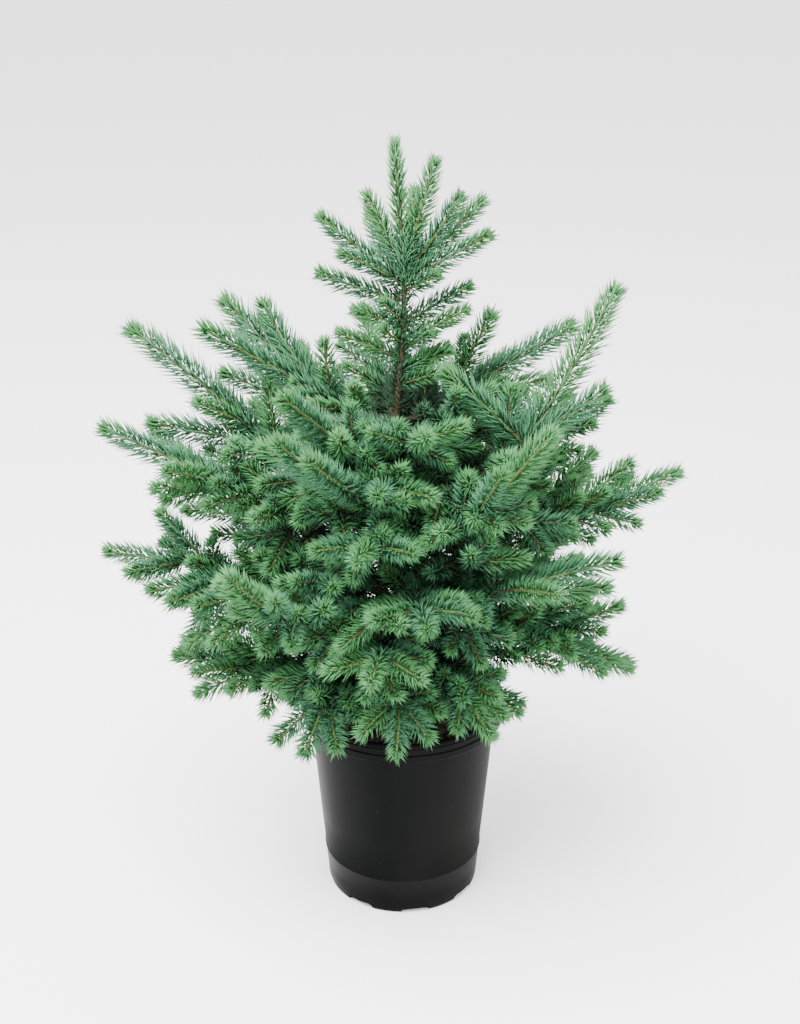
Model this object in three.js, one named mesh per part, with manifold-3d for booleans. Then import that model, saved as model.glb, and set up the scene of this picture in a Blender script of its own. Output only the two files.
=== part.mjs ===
// A young blue spruce in a round nursery pot. Millimetres, +Z up.
// The origin is the centre of the pot's flat underside; -Y is the plant's front, +X its right.
import * as THREE from "three";
import { mergeVertices } from "three/addons/utils/BufferGeometryUtils.js";
import Module from "manifold-3d";

const wasm = await Module();
wasm.setup();

// ---- Driving sizes -------------------------------------------------------------------------
const GAP = 0.35; // clear space left between neighbouring pieces
const POT = { height: 232, rimRadius: 113, neckRadius: 103, footRadius: 85, wall: 2.2, floor: 5 };
const POT_FACETS = 26;
const RIM = { depth: 24, lip: 3, innerStep: 5, ledge: 4 }; // the turned-over band at the pot's mouth
const FOOT_EDGE = { in: 6, out: 1, rise: 4 }; // the sloped edge between underside and wall
const FEET = { count: 8, notchHeight: 6, notchWidth: 32, notchDepth: 7, turn: 10 };
// Level at the pot's wall, how far the middle stands above it, and a step between in shares of the two.
const SOIL = { top: 206, crown: 4, step: [0.72, 0.6] };
const TRUNK = { foot: SOIL.top + SOIL.crown + GAP, tip: 832, footRadius: 11, tipRadius: 1.8, taper: 0.62 };
const FLARE = { radius: 6, height: 12, foot: 4 }; // the root flare, and the level soil round it
const TRUNK_MESH = { levels: 13, sides: 8, crowding: 1.5 }; // crowding: levels lie closer in the flare
const TRUNK_BENDS = [0, -5, -9, 1, -8]; // the trunk's sideways lean at even steps from foot to tip
const LEADER = { from: 716, radius: 11 }; // the topmost year's growth
// A limb's sag is a share of its reach, at the bend along it; bare is its share clear of foliage.
const LIMB = { radiusAtTrunk: 4.6, radiusAtNode: 2.3, bare: 0.4, bend: 0.55, sag: 0.05, sides: 5, steps: 2 };
const SPRAY = { base: 12, perLength: 0.085, most: 23, needlesPast: 8 }; // needle envelope round a shoot
const SLIM = { base: 10.5, perLength: 0.06, most: 17 }; // and round the trunk's own shoots
// Rings of a shoot's envelope: share of its radius, share of its length.
const RINGS = { outer: [[0.95, 0.3], [0.74, 0.84]], inner: [[1, 0.6]] };
const SWELL = { round: 0.1, along: 0.06, waves: 0.11 }; // its unevenness
const CORE = { radius: 13, to: 0.97 }; // needles round a bough's old wood
const CLOTHED_FROM = 0.06; // where they begin on a bough without bare wood
const SIDES = 4; // facets round a shoot

// ---- The growth plan -----------------------------------------------------------------------
// A bough leaves the trunk at a height and heading (0 = +X, 90 = +Y) and rises by its lift over its reach,
// to its last node. There it ends in a shoot, turned from the heading and pitched up, between two side
// shoots that fan to left and right of it and are a share of its length.
const BOUGH_FIELDS = [
  "name", "start", "heading", "reach", "lift", "length", "turn", "pitch", "left", "right", "share",
];
const LIMBED_BOUGHS = [
  ["upper_left", 545, 167, 88, 30, 141, -19, 34, 43, 22, 0.92],
  ["upper_front_left", 540, 238, 106, 12, 106, -11, 42, 40, 34, 0.66],
  ["upper_right", 545, 41, 92, 23, 138, -10, 19, 22, 47, 0.66],
  ["mid_left_riser", 440, 173, 156, 94, 162, -10, 36, 38, 20, 0.4],
  ["mid_left", 440, 186, 195, 54, 121, -6, 27, 67, 42, 0.8],
  ["mid_front_left", 430, 251, 127, 84, 127, -28, 39, 18, 34, 0.84],
  ["mid_right_riser", 430, 332, 136, 119, 179, 68, 48, 130, 30, 0.56],
  ["mid_front_right", 400, 299, 149, 100, 121, 30, 52, 32, 40, 0.65],
  ["mid_right", 440, 5, 208, 3, 93, 8, 22, 38, 28, 0.68],
  ["mid_back_right", 435, 36, 175, 53, 96, -46, 34, 62, 24, 0.85],
  ["mid_back_left", 440, 132, 165, 80, 125, 0, 28, 40, 38, 0.74],
  ["low_left", 340, 180, 233, 51, 80, 0, 9, 36, 72, 0.82],
  ["low_front_left", 340, 230, 188, 57, 93, 0, 45, 40, 40, 0.76],
  ["low_front_right", 340, 314, 153, 71, 110, 35, 21, 30, 45, 0.7],
  ["low_right", 330, 350, 168, -6, 70, 10, 24, 34, 36, 0.8],
];
// These are clothed in needles all the way from the trunk.
const CLOTHED_BOUGHS = [
  ["upper_front", 535, 276, 88, 22, 64, 6, 26, 60, 60, 0.85],
  ["upper_back", 545, 105, 85, 25, 95, 0, 35, 45, 45, 0.6],
  ["core_front", 480, 262, 108, 40, 66, 0, 14, 54, 54, 0.95],
  ["mid_front", 430, 258, 138, 40, 72, 0, 12, 46, 46, 0.9],
  ["mid_front_low", 385, 276, 148, 22, 70, 0, 10, 46, 50, 0.9],
  ["low_front", 335, 262, 150, 25, 72, 0, 4, 46, 50, 0.9],
  ["low_left_under", 330, 201, 170, 26, 68, 0, -12, 34, 40, 0.85],
  ["skirt_left", 280, 187, 160, -2, 84, -5, 8, 34, 36, 0.85],
  ["skirt_front_left", 265, 230, 122, 16, 87, 27, -12, 22, 26, 0.93],
  ["skirt_front", 262, 268, 124, 34, 70, 0, -23, 36, 36, 0.85],
  ["skirt_front_right", 262, 300, 118, 34, 66, 0, -24, 32, 34, 0.85],
  ["skirt_right", 272, 346, 165, 42, 86, 14, -20, 40, 33, 0.7],
  ["skirt_right_inner", 250, 332, 98, 10, 44, -4, -18, 14, 30, 0.9],
  ["mid_back", 425, 84, 168, 66, 112, 0, 28, 38, 38, 0.8],
  ["low_back_left", 345, 146, 200, 50, 100, 0, 15, 40, 38, 0.8],
  ["low_back", 335, 94, 205, 44, 100, 0, 12, 38, 38, 0.8],
  ["low_back_right", 345, 43, 200, 45, 100, 0, 12, 38, 42, 0.8],
  ["skirt_back_right", 270, 62, 158, 14, 90, 0, -8, 42, 42, 0.85],
  ["skirt_back_left", 270, 124, 158, 14, 90, 0, -8, 42, 42, 0.85],
];
// Shorter shoots further in on a bough, in pairs: place along it, share of its whole length, angle off it.
const OUTER_PAIR = [0.74, 0.26, 50];
const INNER_PAIR = [0.5, 0.29, 58]; // on limbed boughs only, as the others are short
const UPRIGHT = { at: 0.84, pitch: 84, share: 0.42 }; // one short shoot that stands up from a limbed bough
const SIDE_PITCH = { fan: 0.8, pair: 0.5 }; // shares of the last shoot's pitch
// How unevenly they grow: degrees of pitch and heading, and shares of length.
const UNEVEN = { fanPitch: 6, fanShare: 0.05, pairHeading: 6, pairPitch: 10, pairShare: 0.03, upright: 20 };
// Shoots that leave the trunk itself: height, heading, length, pitch.
const TRUNK_SPRAYS = {
  top_left: [[712, 150, 78, 58], [700, 184, 101, 38], [694, 200, 73, 30]],
  top_right: [[714, 8, 104, 73], [704, 6, 93, 54], [702, 28, 110, 37], [696, 345, 98, 32]],
  top_back: [[706, 80, 95, 45], [698, 118, 90, 36]],
  stem_left_high: [[678, 186, 87, 20]],
  stem_left_low: [[650, 194, 53, 23], [618, 176, 66, 22]],
  stem_right_high: [[653, 9, 74, 29], [638, 352, 70, 27]],
  stem_right_low: [[604, 8, 52, 27], [590, 336, 60, 24]],
};

// ---- Solids --------------------------------------------------------------------------------
const UP = new THREE.Vector3(0, 1, 0);
const radians = THREE.MathUtils.degToRad;

// A fixed, repeatable unevenness from -1 to 1 for any number.
function wobble(n) {
  const s = Math.sin(n * 12.9898) * 43758.5453;
  return 2 * (s - Math.floor(s)) - 1;
}

function solidOf(geometry) {
  const bare = geometry.clone();
  bare.deleteAttribute("normal");
  bare.deleteAttribute("uv");
  const merged = mergeVertices(bare, 1e-4);
  const faces = [];
  const index = merged.index.array;
  for (let i = 0; i < index.length; i += 3) {
    const [a, b, c] = [index[i], index[i + 1], index[i + 2]];
    if (a !== b && b !== c && c !== a) faces.push(a, b, c);
  }
  return new wasm.Manifold(
    new wasm.Mesh({
      numProp: 3,
      vertProperties: merged.attributes.position.array,
      triVerts: new Uint32Array(faces),
    }),
  );
}

function meshOf(name, solid, material) {
  const { vertProperties, triVerts } = solid.getMesh();
  const geometry = new THREE.BufferGeometry();
  geometry.setAttribute("position", new THREE.BufferAttribute(vertProperties, 3));
  geometry.setIndex(new THREE.BufferAttribute(triVerts, 1));
  geometry.computeVertexNormals();
  const mesh = new THREE.Mesh(geometry, material);
  mesh.name = name;
  return mesh;
}

// Moves each vertex of a geometry with a function of its place.
function reshape(geometry, move) {
  const places = geometry.attributes.position;
  const v = new THREE.Vector3();
  for (let i = 0; i < places.count; i++) {
    v.fromBufferAttribute(places, i);
    move(v);
    places.setXYZ(i, v.x, v.y, v.z);
  }
  return geometry;
}

// A turned shape about +Z from [radius, height] pairs.
function turned(profile, segments) {
  const points = profile.map(([r, z]) => new THREE.Vector2(r, z));
  return new THREE.LatheGeometry(points, segments).rotateX(Math.PI / 2);
}

function direction(heading, pitch) {
  const [h, p] = [radians(heading), radians(pitch)];
  return new THREE.Vector3(Math.cos(p) * Math.cos(h), Math.cos(p) * Math.sin(h), Math.sin(p));
}

// ---- Pot and soil --------------------------------------------------------------------------
function wallRadius(z) {
  return THREE.MathUtils.mapLinear(z, 0, POT.height - RIM.depth, POT.footRadius, POT.neckRadius);
}

function potSolid(grow) {
  const rimFoot = POT.height - RIM.depth;
  const inner = (z) => wallRadius(z) - POT.wall - grow;
  const profile = [
    [0, -grow],
    [POT.footRadius - FOOT_EDGE.in, -grow],
    [POT.footRadius - FOOT_EDGE.out + grow, FOOT_EDGE.rise],
    [wallRadius(rimFoot) + grow, rimFoot],
    [POT.rimRadius - 1 + grow, rimFoot + 1 - grow],
    [POT.rimRadius + grow, rimFoot + RIM.depth / 2],
    [POT.rimRadius + grow, POT.height - RIM.lip],
    [POT.rimRadius - RIM.lip, POT.height + grow],
    [POT.rimRadius - RIM.innerStep - grow, POT.height + grow],
    [POT.rimRadius - RIM.innerStep - grow, rimFoot + RIM.ledge],
    [inner(rimFoot - POT.wall), rimFoot - POT.wall],
    [inner(POT.floor + grow), POT.floor + grow],
    [0, POT.floor + grow],
  ];
  return solidOf(turned(profile, POT_FACETS));
}

// The foot has drain notches between its eight feet.
function pot() {
  let body = potSolid(0);
  for (let i = 0; i < FEET.count; i++) {
    const notch = new THREE.BoxGeometry(2 * FEET.notchDepth, FEET.notchWidth, 2 * FEET.notchHeight)
      .translate(POT.footRadius, 0, 0)
      .rotateZ(radians(FEET.turn) + (2 * Math.PI * i) / FEET.count);
    body = body.subtract(solidOf(notch));
  }
  return body;
}

function soil() {
  const inside = (z) => wallRadius(z) - POT.wall - GAP;
  const base = POT.floor + GAP;
  const profile = [
    [0, base],
    [inside(base), base],
    [inside(SOIL.top), SOIL.top],
    [inside(SOIL.top) * SOIL.step[0], SOIL.top + SOIL.crown * SOIL.step[1]],
    [TRUNK.footRadius + FLARE.radius + FLARE.foot, SOIL.top + SOIL.crown],
    [0, SOIL.top + SOIL.crown],
  ];
  return solidOf(turned(profile, POT_FACETS));
}

// ---- Trunk ---------------------------------------------------------------------------------
function trunkShare(z) {
  return (z - TRUNK.foot) / (TRUNK.tip - TRUNK.foot);
}

const trunkLine = new THREE.CatmullRomCurve3(
  TRUNK_BENDS.map((x, i, all) => new THREE.Vector3(x, 0, i / (all.length - 1))),
  false,
  "catmullrom",
);

function trunkCentre(z) {
  const lean = trunkLine.getPoint(THREE.MathUtils.clamp(trunkShare(z), 0, 1)).x;
  return new THREE.Vector3(lean, 0, z);
}

function trunkRadius(z) {
  const t = THREE.MathUtils.clamp(trunkShare(z), 0, 1);
  const taper = THREE.MathUtils.lerp(TRUNK.footRadius, TRUNK.tipRadius, Math.pow(t, TRUNK.taper));
  return taper + FLARE.radius * Math.exp(-(z - TRUNK.foot) / FLARE.height);
}

function trunk(grow) {
  const [foot, tip] = [TRUNK.foot - grow, TRUNK.tip + grow];
  const profile = [[0, 0]];
  for (let i = 0; i <= TRUNK_MESH.levels; i++) profile.push([1, i / TRUNK_MESH.levels]);
  profile.push([0, 1]);
  return solidOf(
    reshape(turned(profile, TRUNK_MESH.sides), (v) => {
      const z = foot + (tip - foot) * Math.pow(Math.max(v.z, 0), TRUNK_MESH.crowding);
      const centre = trunkCentre(z);
      const radius = trunkRadius(z) + grow;
      v.set(centre.x + v.x * radius, centre.y + v.y * radius, z);
    }),
  );
}

// ---- Shoots, limbs and sprays ----------------------------------------------------------------
// The needle envelope of one shoot. Outer shoots are full along most of their length and blunt at the tip.
function shootSolid({ base, tip, radius, seed, inner }, grow) {
  const stem = new THREE.Vector3().subVectors(tip, base);
  const length = stem.length() + SPRAY.needlesPast;
  const rings = inner ? RINGS.inner : RINGS.outer;
  const girdle = rings.map(([r, y]) => [r * radius + grow, y * length]);
  const profile = [[0, -grow], ...girdle, [0, length + grow]];
  const points = profile.map(([r, y]) => new THREE.Vector2(r, y));
  const body = reshape(new THREE.LatheGeometry(points, SIDES, 0.6 * seed), (v) => {
    const turn = Math.atan2(v.x, v.z);
    const along = SWELL.along * Math.sin(v.y * SWELL.waves + seed);
    const swell = 1 + SWELL.round * Math.sin(2 * turn + seed) + along;
    v.set(v.x * swell, v.y, v.z * swell);
  });
  const aim = new THREE.Quaternion().setFromUnitVectors(UP, stem.normalize());
  return solidOf(body.applyQuaternion(aim).translate(base.x, base.y, base.z));
}

function shoot(base, heading, pitch, length, seed, inner = false, girth = SPRAY) {
  const radius = Math.min(girth.base + girth.perLength * length, girth.most);
  const tip = base.clone().addScaledVector(direction(heading, pitch), length);
  return { base, tip, radius, seed, inner };
}

function joined(solids) {
  return solids.reduce((all, one) => all.add(one));
}

// A tapering limb along the first part of a curve.
function limbSolid(curve, to, grow) {
  const shape = new THREE.CylinderGeometry(1, 1, 1, LIMB.sides, LIMB.steps).translate(0, 0.5, 0);
  return solidOf(
    reshape(shape, (v) => {
      const t = to * v.y;
      const radius = THREE.MathUtils.lerp(LIMB.radiusAtTrunk, LIMB.radiusAtNode, t) + grow;
      const aim = new THREE.Quaternion().setFromUnitVectors(UP, curve.getTangent(t));
      const across = new THREE.Vector3(v.x * radius, 0, v.z * radius).applyQuaternion(aim);
      v.copy(curve.getPoint(t)).add(across);
    }),
  );
}

// A bough: its old wood as a curve, and the shoots that it carries.
function boughPlan(bough, number) {
  const limbed = number < LIMBED_BOUGHS.length;
  const { name, start, heading, reach, lift, length, turn, pitch, left, right, share } = bough;
  const jitter = (n) => wobble(31 * number + n);
  const root = trunkCentre(start);
  const node = direction(heading, 0).multiplyScalar(reach).setZ(start + lift);
  const bend = root.clone().lerp(node, LIMB.bend).sub(new THREE.Vector3(0, 0, LIMB.sag * reach));
  const curve = new THREE.QuadraticBezierCurve3(root, bend, node);
  const shoots = [shoot(node, heading + turn, pitch, length, number)];
  for (const [side, fan] of [[1, left], [-1, right]]) {
    const j = jitter(side);
    const tilt = SIDE_PITCH.fan * pitch + UNEVEN.fanPitch * j;
    shoots.push(shoot(node, heading + turn + side * fan, tilt, length * (share + UNEVEN.fanShare * j), j));
    for (const [at, part, angle] of limbed ? [OUTER_PAIR, INNER_PAIR] : [OUTER_PAIR]) {
      const k = jitter(10 * side * at);
      const size = (reach + length) * (part + UNEVEN.pairShare * k);
      const way = heading + side * (angle + UNEVEN.pairHeading * k);
      const rise = SIDE_PITCH.pair * pitch + UNEVEN.pairPitch * k;
      shoots.push(shoot(curve.getPoint(at), way, rise, size, k, true));
    }
  }
  if (limbed) {
    const way = heading + UNEVEN.upright * jitter(5);
    const base = curve.getPoint(UPRIGHT.at);
    shoots.push(shoot(base, way, UPRIGHT.pitch, length * UPRIGHT.share, jitter(6), true));
  }
  return { name, curve, shoots, limbed };
}

function sprayOf(shoots) {
  return (grow) => joined(shoots.map((s) => shootSolid(s, grow)));
}

// ---- Assembly ------------------------------------------------------------------------------
const plastic = new THREE.MeshStandardMaterial({ color: 0x17191a, roughness: 0.5 });
const compost = new THREE.MeshStandardMaterial({ color: 0x2c2018, roughness: 0.95 });
const bark = new THREE.MeshStandardMaterial({ color: 0x6b4f2c, roughness: 0.85 });
const needles = new THREE.MeshStandardMaterial({ color: 0x5f9a80, roughness: 0.6 });

const plant = new THREE.Group();
const placed = []; // what later pieces are cut round

function boxesMeet(a, b) {
  return a.min.every((low, i) => low <= b.max[i] && b.min[i] <= a.max[i]);
}

// Adds a piece, cut round every piece already there. make(grow) gives its shape, swollen by grow.
function place(name, make, material) {
  let body = make(0);
  const room = body.boundingBox();
  for (const other of placed) {
    if (boxesMeet(room, other.boundingBox())) body = body.subtract(other);
  }
  const largest = body.decompose().sort((a, b) => b.volume() - a.volume())[0];
  placed.push(make(GAP));
  plant.add(meshOf(name, largest, material));
}

plant.add(meshOf("pot", pot(), plastic));
plant.add(meshOf("soil", soil(), compost));
placed.push(potSolid(GAP));
place("trunk", trunk, bark);

const named = (row) => Object.fromEntries(BOUGH_FIELDS.map((field, i) => [field, row[i]]));
const boughs = [...LIMBED_BOUGHS, ...CLOTHED_BOUGHS].map(named).map(boughPlan);
for (const { name, curve, limbed } of boughs) {
  if (limbed) place("bough_" + name, (grow) => limbSolid(curve, LIMB.bare, grow), bark);
}

const leader = {
  base: trunkCentre(LEADER.from),
  tip: trunkCentre(TRUNK.tip),
  radius: LEADER.radius,
  seed: 1,
};
place("needles_leader", sprayOf([leader]), needles);
for (const [name, rows] of Object.entries(TRUNK_SPRAYS)) {
  const shoots = rows.map(([z, heading, length, pitch], i) =>
    shoot(trunkCentre(z), heading, pitch, length, i, false, SLIM),
  );
  place("needles_" + name, sprayOf(shoots), needles);
}
for (const { name, curve, shoots, limbed } of boughs) {
  const from = curve.getPoint(limbed ? LIMB.bare : CLOTHED_FROM);
  const core = { base: from, tip: curve.getPoint(CORE.to), radius: CORE.radius, seed: 0, inner: true };
  place("needles_" + name, sprayOf([...shoots, core]), needles);
}

export default plant;
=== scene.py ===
# A young blue spruce in a black nursery pot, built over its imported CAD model.
import functools
import math

import bpy
import numpy as np
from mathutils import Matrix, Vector, noise


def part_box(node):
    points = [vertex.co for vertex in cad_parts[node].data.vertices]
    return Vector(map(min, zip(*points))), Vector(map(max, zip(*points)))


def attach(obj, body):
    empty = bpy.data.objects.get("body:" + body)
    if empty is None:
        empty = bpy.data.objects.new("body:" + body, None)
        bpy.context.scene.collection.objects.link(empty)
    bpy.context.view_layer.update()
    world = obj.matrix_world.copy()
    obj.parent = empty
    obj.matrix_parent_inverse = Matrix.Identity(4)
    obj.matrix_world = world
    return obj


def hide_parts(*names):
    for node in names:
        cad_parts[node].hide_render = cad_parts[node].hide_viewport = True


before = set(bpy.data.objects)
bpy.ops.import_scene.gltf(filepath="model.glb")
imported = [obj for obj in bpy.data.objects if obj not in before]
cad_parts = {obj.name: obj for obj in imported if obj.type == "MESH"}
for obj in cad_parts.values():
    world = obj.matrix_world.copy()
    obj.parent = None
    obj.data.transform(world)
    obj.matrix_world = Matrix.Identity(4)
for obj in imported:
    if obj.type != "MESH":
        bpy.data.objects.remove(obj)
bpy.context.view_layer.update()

# ---- The pot ---------------------------------------------------------------------------------
# A two-gallon nursery pot, blow-moulded in thin black plastic: a tapering wall with a rolled lip over a
# ribbed rim band, a faint bead low on the wall, and drain notches between the feet.
MM = 0.001
RIM_DEPTH = 24 * MM  # the rim band's height
WALL = 2.2 * MM
POT_SIDES = 112
pot_low, pot_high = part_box("pot")
POT_HEIGHT = pot_high.z - pot_low.z
RIM_RADIUS = (pot_high.x - pot_low.x) / 2
NECK_RADIUS = RIM_RADIUS - 10 * MM  # the wall just under the rim band
FOOT_RADIUS = RIM_RADIUS - 28 * MM
BAND_FOOT = POT_HEIGHT - RIM_DEPTH
BEAD_HEIGHT = 46 * MM
FLOOR_TOP = 5 * MM
NOTCHES = 8
NOTCH = Vector((14, 32, 12)) * MM  # depth, width and twice the height of one drain notch
FIRST_NOTCH = math.radians(10)


def deselect():
    if bpy.context.mode != "OBJECT":
        bpy.ops.object.mode_set(mode="OBJECT")
    bpy.ops.object.select_all(action="DESELECT")


def wall_at(z):
    """The pot wall's outer radius at a height."""
    return FOOT_RADIUS + (NECK_RADIUS - FOOT_RADIUS) * z / BAND_FOOT


def ring_start(name, sides, radius, height):
    """A bare circle of edges in edit mode, from which a turned shape is drawn up ring by ring."""
    deselect()
    bpy.ops.mesh.primitive_circle_add(vertices=sides, radius=radius, location=(0, 0, height))
    bpy.ops.object.transform_apply(location=True)
    made = bpy.context.object
    made.name = name
    bpy.ops.object.mode_set(mode="EDIT")
    bpy.ops.mesh.select_all(action="SELECT")
    return made


def draw_rings(radius, height, profile):
    """Extrudes the selected ring through each (radius, height) of a profile."""
    for next_radius, next_height in profile:
        rise = (0, 0, next_height - height)
        bpy.ops.mesh.extrude_edges_move(TRANSFORM_OT_translate={"value": rise})
        grown = next_radius / radius
        centre = (0, 0, next_height)
        bpy.ops.transform.resize(value=(grown, grown, 1), center_override=centre)
        radius, height = next_radius, next_height


def close_solid():
    """Fills the open rings of the mesh in edit mode and turns its faces outward."""
    bpy.ops.mesh.select_mode(type="EDGE")
    bpy.ops.mesh.select_all(action="DESELECT")
    bpy.ops.mesh.select_non_manifold()
    bpy.ops.mesh.fill_holes(sides=0)
    bpy.ops.mesh.select_all(action="SELECT")
    bpy.ops.mesh.remove_doubles(threshold=0.01 * MM)
    bpy.ops.mesh.normals_make_consistent(inside=False)
    bpy.ops.object.mode_set(mode="OBJECT")


def tinted(name, colour, roughness):
    """A plain material, and its Principled node for what else it needs."""
    made = bpy.data.materials.new(name)
    made.use_nodes = True
    surface = made.node_tree.nodes["Principled BSDF"]
    surface.inputs["Base Color"].default_value = (*colour, 1)
    surface.inputs["Roughness"].default_value = roughness
    return made, surface


foot_edge = FOOT_RADIUS - 6 * MM
inner_rim = RIM_RADIUS - 5 * MM
pot = ring_start("nursery_pot", POT_SIDES, foot_edge, 0)
draw_rings(
    foot_edge,
    0,
    [
        (FOOT_RADIUS - 1.6 * MM, 0.6 * MM),
        (FOOT_RADIUS - 0.4 * MM, 2.2 * MM),
        (wall_at(5 * MM), 5 * MM),
        (wall_at(18 * MM), 18 * MM),
        (wall_at(BEAD_HEIGHT) - 0.3 * MM, BEAD_HEIGHT - 2.4 * MM),
        (wall_at(BEAD_HEIGHT) + 0.7 * MM, BEAD_HEIGHT - 1.2 * MM),
        (wall_at(BEAD_HEIGHT) + 0.7 * MM, BEAD_HEIGHT + 1.2 * MM),
        (wall_at(BEAD_HEIGHT), BEAD_HEIGHT + 2.4 * MM),
        (wall_at(90 * MM), 90 * MM),
        (wall_at(150 * MM), 150 * MM),
        (wall_at(BAND_FOOT) - 0.4 * MM, BAND_FOOT - 1.5 * MM),
        (NECK_RADIUS + 1 * MM, BAND_FOOT),
        (RIM_RADIUS - 2.2 * MM, BAND_FOOT + 0.6 * MM),
        (RIM_RADIUS - 1 * MM, BAND_FOOT + 2 * MM),
        (RIM_RADIUS - 0.8 * MM, BAND_FOOT + 9 * MM),
        (RIM_RADIUS - 2 * MM, BAND_FOOT + 10 * MM),
        (RIM_RADIUS - 2 * MM, BAND_FOOT + 11.6 * MM),
        (RIM_RADIUS - 0.7 * MM, BAND_FOOT + 12.6 * MM),
        (RIM_RADIUS - 0.6 * MM, BAND_FOOT + 17 * MM),
        (RIM_RADIUS - 1.4 * MM, BAND_FOOT + 18 * MM),
        (RIM_RADIUS, BAND_FOOT + 19.4 * MM),
        (RIM_RADIUS, POT_HEIGHT - 2.6 * MM),
        (RIM_RADIUS - 0.8 * MM, POT_HEIGHT - 1 * MM),
        (RIM_RADIUS - 2.2 * MM, POT_HEIGHT - 0.1 * MM),
        (RIM_RADIUS - 3.6 * MM, POT_HEIGHT - 0.2 * MM),
        (inner_rim + 0.3 * MM, POT_HEIGHT - 1.4 * MM),
        (inner_rim, POT_HEIGHT - 3 * MM),
        (inner_rim, BAND_FOOT + 5 * MM),
        (NECK_RADIUS - WALL, BAND_FOOT - 2 * MM),
        (wall_at(100 * MM) - WALL, 100 * MM),
        (wall_at(FLOOR_TOP) - WALL, FLOOR_TOP),
    ],
)
close_solid()

for turn in range(NOTCHES):
    angle = FIRST_NOTCH + turn * math.tau / NOTCHES
    place = (FOOT_RADIUS * math.cos(angle), FOOT_RADIUS * math.sin(angle), 0)
    deselect()
    bpy.ops.mesh.primitive_cube_add(size=1, location=place, rotation=(0, 0, angle), scale=NOTCH)
    cutter = bpy.context.object
    bpy.ops.object.transform_apply(scale=True, location=False, rotation=False)
    round_off = cutter.modifiers.new("round", "BEVEL")
    round_off.width = 3 * MM
    round_off.segments = 3
    bpy.context.view_layer.objects.active = pot
    cut = pot.modifiers.new("notch", "BOOLEAN")
    cut.object = cutter
    cut.operation = "DIFFERENCE"
    bpy.ops.object.modifier_apply(modifier=cut.name)
    bpy.data.objects.remove(cutter)

deselect()
pot.select_set(True)
bpy.ops.object.shade_smooth_by_angle(angle=math.radians(38))

plastic, surface = tinted("black_plastic", (0.012, 0.013, 0.014), 0.42)
nodes, links = plastic.node_tree.nodes, plastic.node_tree.links
place = nodes.new("ShaderNodeTexCoord").outputs["Object"]


def noise_of(nodes, links, place, scale, detail, stretch=(1, 1, 1)):
    """Noise on object coordinates, from a stretched copy of them."""
    mapping = nodes.new("ShaderNodeMapping")
    mapping.inputs["Scale"].default_value = stretch
    links.new(place, mapping.inputs["Vector"])
    texture = nodes.new("ShaderNodeTexNoise")
    texture.inputs["Scale"].default_value = scale
    texture.inputs["Detail"].default_value = detail
    links.new(mapping.outputs["Vector"], texture.inputs["Vector"])
    return texture.outputs["Fac"]


def ramp_of(nodes, links, value, stops):
    """A colour ramp of (position, colour) stops on a value."""
    ramp = nodes.new("ShaderNodeValToRGB")
    ramp.color_ramp.elements[0].position, first = stops[0]
    ramp.color_ramp.elements[0].color = (*first, 1)
    ramp.color_ramp.elements[1].position, last = stops[-1]
    ramp.color_ramp.elements[1].color = (*last, 1)
    for position, colour in stops[1:-1]:
        ramp.color_ramp.elements.new(position).color = (*colour, 1)
    links.new(value, ramp.inputs["Fac"])
    return ramp.outputs["Color"]


smears = noise_of(nodes, links, place, 9, 4, (1, 1, 0.35))
flecks = noise_of(nodes, links, place, 330, 2)
dusty = ramp_of(nodes, links, smears, [(0.42, (0.0008, 0.0009, 0.001)), (0.75, (0.0042, 0.0042, 0.004))])
fleck_mask = ramp_of(nodes, links, flecks, [(0.74, (0, 0, 0)), (0.78, (1, 1, 1))])
with_flecks = nodes.new("ShaderNodeMix")
with_flecks.data_type = "RGBA"
with_flecks.inputs["B"].default_value = (0.028, 0.021, 0.015, 1)
links.new(fleck_mask, with_flecks.inputs["Factor"])
links.new(dusty, with_flecks.inputs["A"])
links.new(with_flecks.outputs["Result"], surface.inputs["Base Color"])
scuffed = ramp_of(nodes, links, smears, [(0.35, (0.34, 0.34, 0.34)), (0.7, (0.52, 0.52, 0.52))])
links.new(scuffed, surface.inputs["Roughness"])
ripple = nodes.new("ShaderNodeBump")
ripple.inputs["Strength"].default_value = 0.25
ripple.inputs["Distance"].default_value = 0.8 * MM
links.new(noise_of(nodes, links, place, 26, 2, (1, 1, 0.3)), ripple.inputs["Height"])
links.new(ripple.outputs["Normal"], surface.inputs["Normal"])
surface.inputs["Specular IOR Level"].default_value = 0.03
pot.data.materials.append(plastic)
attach(pot, "root")
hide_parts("pot")

# ---- The compost -----------------------------------------------------------------------------
# Dark potting compost that fills the pot to just below its rim and rises a little to the stem. It is
# loose, so its top is lumpy.
SOIL_RINGS = 26
soil_low, soil_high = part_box("soil")
SOIL_RADIUS = (soil_high.x - soil_low.x) / 2 - 0.3 * MM
SOIL_EDGE = soil_high.z - 4 * MM  # its level at the pot's wall
soil_foot = SOIL_RADIUS - (NECK_RADIUS - FOOT_RADIUS) * 0.96
soil = ring_start("compost", 96, soil_foot, soil_low.z)
rings = [(SOIL_RADIUS, SOIL_EDGE)]
for ring in range(1, SOIL_RINGS):
    inward = 1 - ring / SOIL_RINGS
    rings.append((SOIL_RADIUS * inward, SOIL_EDGE + 4 * MM * (1 - inward**2)))
draw_rings(soil_foot, soil_low.z, rings)
close_solid()
for vertex in soil.data.vertices:
    if vertex.co.z > SOIL_EDGE - 1 * MM:
        out = math.hypot(vertex.co.x, vertex.co.y) / SOIL_RADIUS
        lumps = noise.noise(vertex.co * 60) * 2.2 + noise.noise(vertex.co * 190) * 1.3
        vertex.co.z += lumps * MM * min(1.0, 6 * (1 - out)) - 1.6 * MM
for polygon in soil.data.polygons:
    polygon.use_smooth = True

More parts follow.
